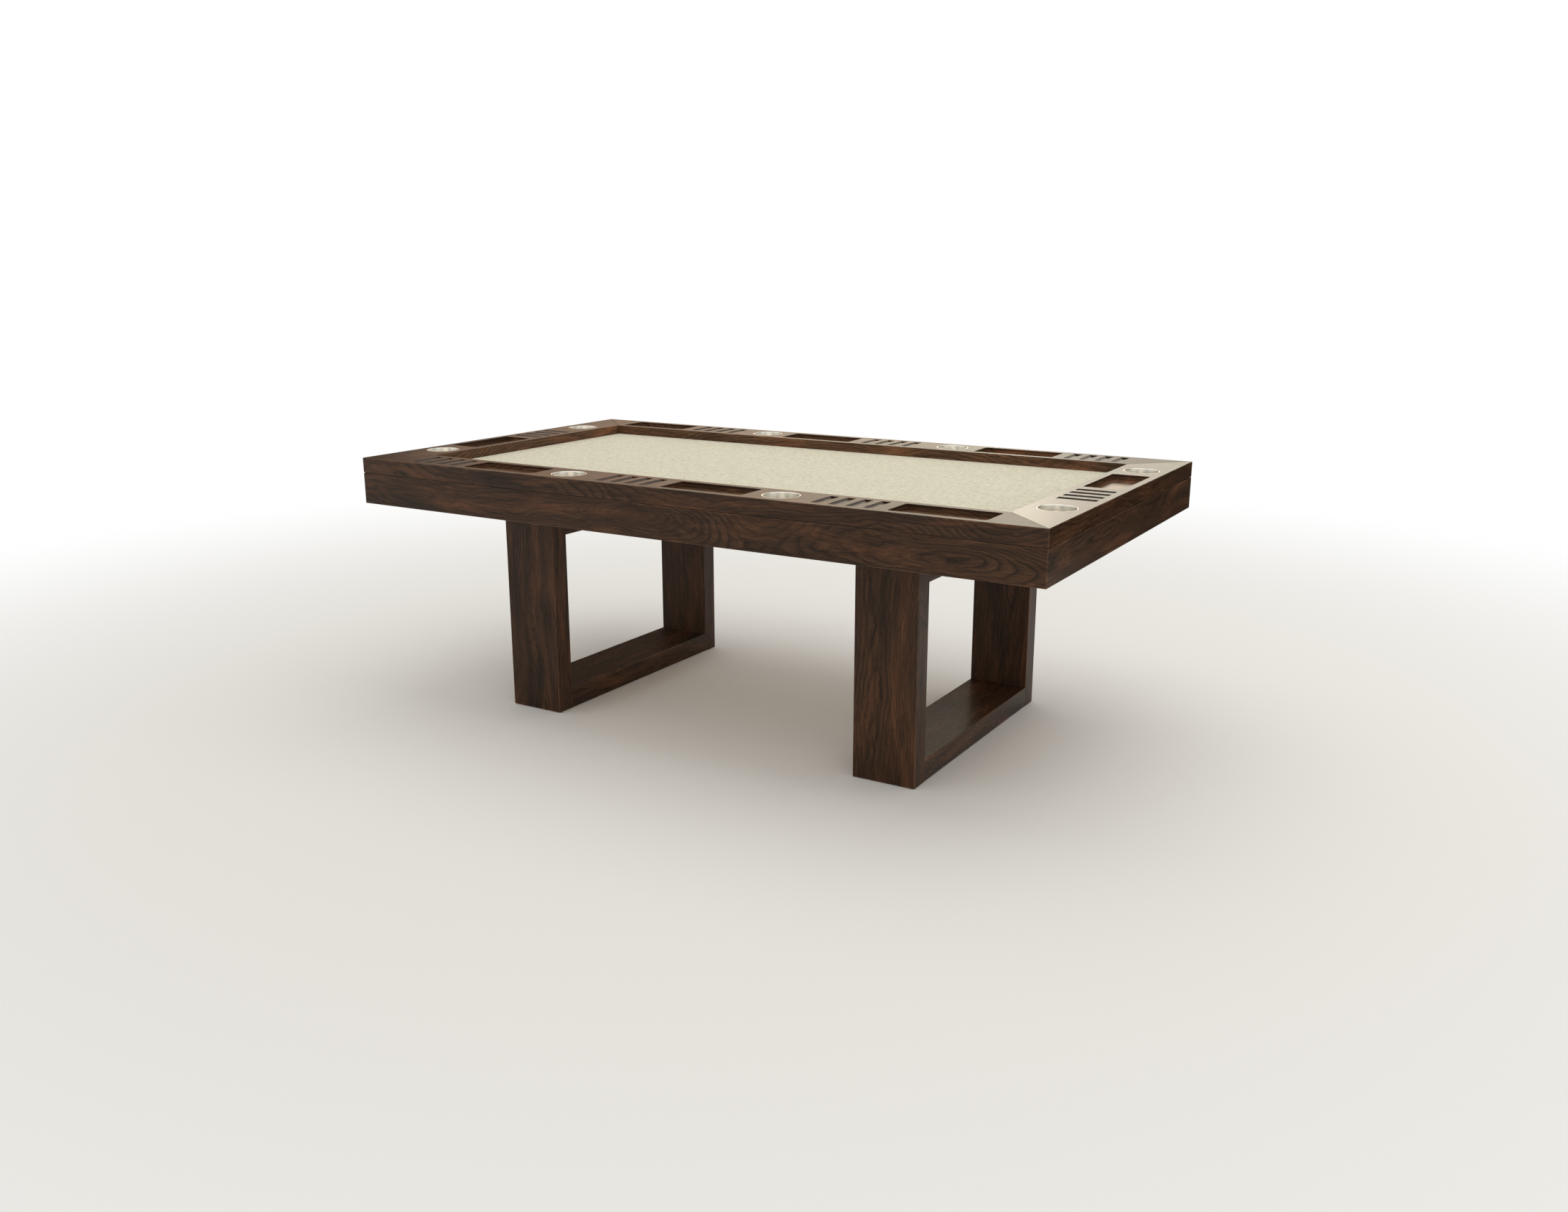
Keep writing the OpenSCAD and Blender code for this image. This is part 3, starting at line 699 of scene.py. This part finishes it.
def liner_section(flange, wall, depth, lip):
    """The liner's half section, from the middle of its floor inside to the middle outside."""
    inside = wall - LINER_WALL
    floor_top = LINER_WALL - depth
    foot = (wall - FOOT_R, FOOT_R - depth)
    points = [(0.0, floor_top), (RING_R - RING_SLOPE, floor_top)]
    points += [(RING_R, floor_top + RING_RISE), (RING_R + RING_WIDTH, floor_top + RING_RISE)]
    points += arc(foot, FOOT_R - LINER_WALL, -90, 0, FOOT_STEPS)
    points += arc((inside + RIM_ROLL, -RIM_ROLL), RIM_ROLL, 180, 90, RIM_STEPS)
    points += arc((flange - lip / 2, -lip / 2), lip / 2, 90, -90, RIM_STEPS)
    points += arc((wall + NECK_R, -lip - NECK_R), NECK_R, 90, 180, NECK_STEPS)
    points += arc(foot, FOOT_R, 0, -90, FOOT_STEPS)
    points += [(0.0, -depth)]
    return points


def spun(section, centre):
    """A closed shape from a half section, spun round an upright axis."""
    shape = bmesh.new()
    verts = [shape.verts.new((centre.x + radius, centre.y, centre.z + height))
        for radius, height in section]
    edges = [shape.edges.new(pair) for pair in zip(verts, verts[1:])]
    bmesh.ops.spin(shape, geom=verts + edges, cent=centre, axis=(0, 0, 1), angle=2 * math.pi,
        steps=SPIN_STEPS, use_merge=True, use_duplicate=False)
    bmesh.ops.remove_doubles(shape, verts=shape.verts, dist=MERGE_M)
    bmesh.ops.recalc_face_normals(shape, faces=shape.faces)
    return shape


print("liner wall", LINER_WALL * 1000, "mm")

# %% [markdown]
# ## Cup liners: their steel
# The press and the polishing lathe leave fine circles round the cup's axis. Noise that
# reads only a point's radius and height gives such circles, and they change both the
# colour and the roughness a little, as they do on satin stainless steel.

# %% Liner steel and pieces
STEEL_SHADES = [(0.3, colour(236, 233, 223)), (0.7, colour(249, 246, 238))]
STEEL_ROUGHNESS = (0.20, 0.34)
# Lumps a metre over the radius and the height, detail and roughness
TURNING_NOISE = ((2600.0, 2600.0, 1.0), 2.0, 0.6)
TURNING_RELIEF_M = 0.00005
TURNING_BUMP = 0.2


def liner_steel(name, centre):
    """Stainless steel with turning marks round the cup's own axis."""
    material, tree, shader = new_material(name, Metallic=1.0, Roughness=0.30)
    local = add(tree, "ShaderNodeMapping", {
        "Vector": object_place(tree), "Location": (-centre.x, -centre.y, 0.0)})
    split = add(tree, "ShaderNodeSeparateXYZ", {0: local.outputs["Vector"]}).outputs
    level = add(tree, "ShaderNodeCombineXYZ", {"X": split["X"], "Y": split["Y"]}).outputs[0]
    circle = add(tree, "ShaderNodeCombineXYZ", {
        "X": vectors(tree, "LENGTH", level), "Y": split["Z"]}).outputs[0]
    marks = noise(tree, circle, *TURNING_NOISE)
    tree.links.new(ramp(tree, marks, STEEL_SHADES), shader.inputs["Base Color"])
    satin = mapped(tree, marks, (0.0, 1.0), STEEL_ROUGHNESS)
    tree.links.new(satin, shader.inputs["Roughness"])
    bump(tree, shader, marks, TURNING_RELIEF_M, TURNING_BUMP)
    return material


liner_nodes = sorted(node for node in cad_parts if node.startswith("cup_liner_"))
for node in liner_nodes:
    low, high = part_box(node)
    mouth = Vector(((low.x + high.x) / 2, (low.y + high.y) / 2, high.z))
    section = liner_section((high.x - low.x) / 2, LINER_R, high.z - low.z, FLANGE_T)
    liner = piece(node.replace("cup_liner", "pressed_liner"), spun(section, mouth),
        liner_steel("steel_" + node, mouth))
    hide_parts(node)
    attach(liner, node.replace("cup_liner_", "cup_"))
print("liners:", len(liner_nodes))

# %% [markdown]
# ## Floor
# The table stands on a plain pale floor. Near the table it takes shadows as any floor does.
# Further out it turns into an even white glow, so that it has no visible end.

# %% Floor
FLOOR_SIDE = 24.0
PALE_RADIUS = 1.6
WHITE_RADIUS = 4.6
FLOOR_COLOUR = colour(250, 249, 246)


def floor_material():
    """Pale near the table, and white from further out."""
    material, tree, shader = new_material("pale_floor", Roughness=0.9, Specular_IOR_Level=0.0)
    shader.inputs["Base Color"].default_value = FLOOR_COLOUR
    reach = vectors(tree, "LENGTH", object_place(tree))
    far = mapped(tree, reach, (PALE_RADIUS, WHITE_RADIUS), (0.0, 1.0), "SMOOTHSTEP")
    white = add(tree, "ShaderNodeEmission", {"Color": WHITE, "Strength": 1.0})
    both = add(tree, "ShaderNodeMixShader", {0: far, 1: shader.outputs[0], 2: white.outputs[0]})
    tree.links.new(both.outputs[0], tree.nodes["Material Output"].inputs["Surface"])
    return material


floor_shape = bmesh.new()
bmesh.ops.create_grid(floor_shape, x_segments=1, y_segments=1, size=FLOOR_SIDE / 2)
floor = piece("floor", floor_shape, floor_material(), smooth=False)
print("floor side", FLOOR_SIDE)

# %% [markdown]
# ## Soft light
# Soft light comes from all round, with one large lamp over the table for a shadow on the
# floor. The camera, metal and gloss see a plain white room instead of the soft light. The
# lamp is kept out of reflections, because it would turn the cups' floors plain white.

# %% White room and lamp
SOFT_LIGHT = 0.74
SOFT_COLOUR = (1.0, 0.985, 0.95, 1)
OVERHEAD_W = 26.0
OVERHEAD_COLOUR = (1.0, 0.97, 0.92)
OVERHEAD_SIZE = (4.0, 3.0)
OVERHEAD_PLACE = (0.6, 0.4, 3.4)

world = bpy.data.worlds.new("white_room")
bpy.context.scene.world = world
world.use_nodes = True
room = world.node_tree
room.nodes.clear()
ray = add(room, "ShaderNodeLightPath").outputs
seen = numbers(room, "MAXIMUM", ray["Is Camera Ray"], ray["Is Glossy Ray"])
seen_through = numbers(room, "MAXIMUM", seen, ray["Is Transmission Ray"])
soft = add(room, "ShaderNodeBackground", {"Color": SOFT_COLOUR, "Strength": SOFT_LIGHT})
white = add(room, "ShaderNodeBackground", {"Color": WHITE, "Strength": 1.0})
both = add(room, "ShaderNodeMixShader", {
    0: seen_through, 1: soft.outputs[0], 2: white.outputs[0]})
add(room, "ShaderNodeOutputWorld", {"Surface": both.outputs[0]})

lamp_data = bpy.data.lights.new("overhead", "AREA")
lamp_data.shape = "RECTANGLE"
lamp_data.size, lamp_data.size_y = OVERHEAD_SIZE
lamp_data.energy = OVERHEAD_W
lamp_data.color = OVERHEAD_COLOUR
lamp = bpy.data.objects.new("overhead", lamp_data)
lamp.location = OVERHEAD_PLACE
lamp.visible_camera = lamp.visible_glossy = False
bpy.context.scene.collection.objects.link(lamp)
print("soft light", SOFT_LIGHT, "overhead", OVERHEAD_W)

# %% [markdown]
# ## What the rails reflect
# A rail seen at a low angle works like a mirror, so what stands behind the table decides how
# it looks. A dark wall with a long window of light, brighter to the right, gives the rails
# their change from dark to bright. A dark screen at the right and a low one behind keep the
# reflections of the rails there dark. All of these show in reflections alone and light
# nothing.

# %% Wall with a window of light
WALL_FAR = 20.0
WALL_TURN_DEG = 30.0
WALL_HALF = 26.0
WALL_HEIGHT = 12.0
WINDOW_GLOW = 6.0
# Metres along the wall, and the light's colour there
WINDOW_COLOURS = [
    (-7.6, (0.02, 0.013, 0.01, 1)), (-6.2, (0.24, 0.165, 0.115, 1)),
    (-3.0, (0.32, 0.23, 0.165, 1)), (0.0, (0.53, 0.43, 0.32, 1)),
    (2.8, (0.66, 0.59, 0.46, 1)), (4.0, (0.92, 0.84, 0.67, 1)),
    (4.9, (0.56, 0.51, 0.42, 1)), (6.5, (0.52, 0.48, 0.39, 1)),
]
# Metres up the wall, and the share of that light
WINDOW_HEIGHTS = [(0.0, 0.04), (3.0, 0.04), (3.6, 1.0), (5.6, 1.0), (6.4, 0.10), (12.0, 0.10)]


def reflected_only(name, shape, material):
    """Part of the studio that only shiny surfaces see."""
    made = piece(name, shape, material, smooth=False)
    made.visible_camera = made.visible_diffuse = made.visible_shadow = False


def upright_screen(width, low, high, centre, turn_deg):
    """An upright rectangle that is turned about the vertical."""
    screen = bmesh.new()
    bmesh.ops.create_grid(screen, x_segments=1, y_segments=1, size=0.5)
    bmesh.ops.scale(screen, vec=(width, high - low, 1.0), verts=screen.verts)
    for angle, axis in ((math.pi / 2, "X"), (math.radians(turn_deg), "Z")):
        bmesh.ops.rotate(screen, matrix=Matrix.Rotation(angle, 3, axis), verts=screen.verts)
    bmesh.ops.translate(screen, vec=(*centre, (low + high) / 2), verts=screen.verts)
    return screen


def graded(tree, place, direction, stops):
    """A colour ramp along a direction, with its stops in metres."""
    first, last = stops[0][0], stops[-1][0]
    reach = vectors(tree, "DOT_PRODUCT", place, direction)
    share = mapped(tree, reach, (first, last), (0.0, 1.0))
    return ramp(tree, share, [((at - first) / (last - first), shade) for at, shade in stops])


def window_material(turn):
    """A dark wall with a lit band, whose light grows to the right."""
    material, tree, shader = new_material("wall_with_window")
    tree.nodes.remove(shader)
    place = object_place(tree)
    across = graded(tree, place, (math.cos(turn), math.sin(turn), 0.0), WINDOW_COLOURS)
    shares = [(height, grey(share)) for height, share in WINDOW_HEIGHTS]
    upwards = graded(tree, place, (0.0, 0.0, 1.0), shares)
    light = mix(tree, "MULTIPLY", 1.0, across, upwards)
    glow = add(tree, "ShaderNodeEmission", {"Color": light, "Strength": WINDOW_GLOW})
    tree.links.new(glow.outputs[0], tree.nodes["Material Output"].inputs["Surface"])
    return material


turn = math.radians(WALL_TURN_DEG)
wall_at = (-WALL_FAR * math.sin(turn), WALL_FAR * math.cos(turn))
wall_shape = upright_screen(2 * WALL_HALF, 0.0, WALL_HEIGHT, wall_at, WALL_TURN_DEG)
reflected_only("back_wall", wall_shape, window_material(turn))
print("wall", WALL_FAR, "m away")

# %% Dark screens
# Each screen: its width, its lower and upper edge, its place, and its turn in degrees
DARK_SCREENS = {
    "right_screen": (3.2, 0.0, 2.6, (2.5, 1.31), -33.0),
    "low_screen": (6.0, 0.0, 1.0, (-1.6, 2.6), WALL_TURN_DEG),
}
screen_black, _, screen_shader = new_material("screen_black", Roughness=0.9,
    Specular_IOR_Level=0.0)
screen_shader.inputs["Base Color"].default_value = colour(30, 25, 20)
for name, measures in DARK_SCREENS.items():
    reflected_only(name, upright_screen(*measures), screen_black)
print("dark screens:", len(DARK_SCREENS))

# %% [markdown]
# ## Finish

# %% Finish
print("scene built")
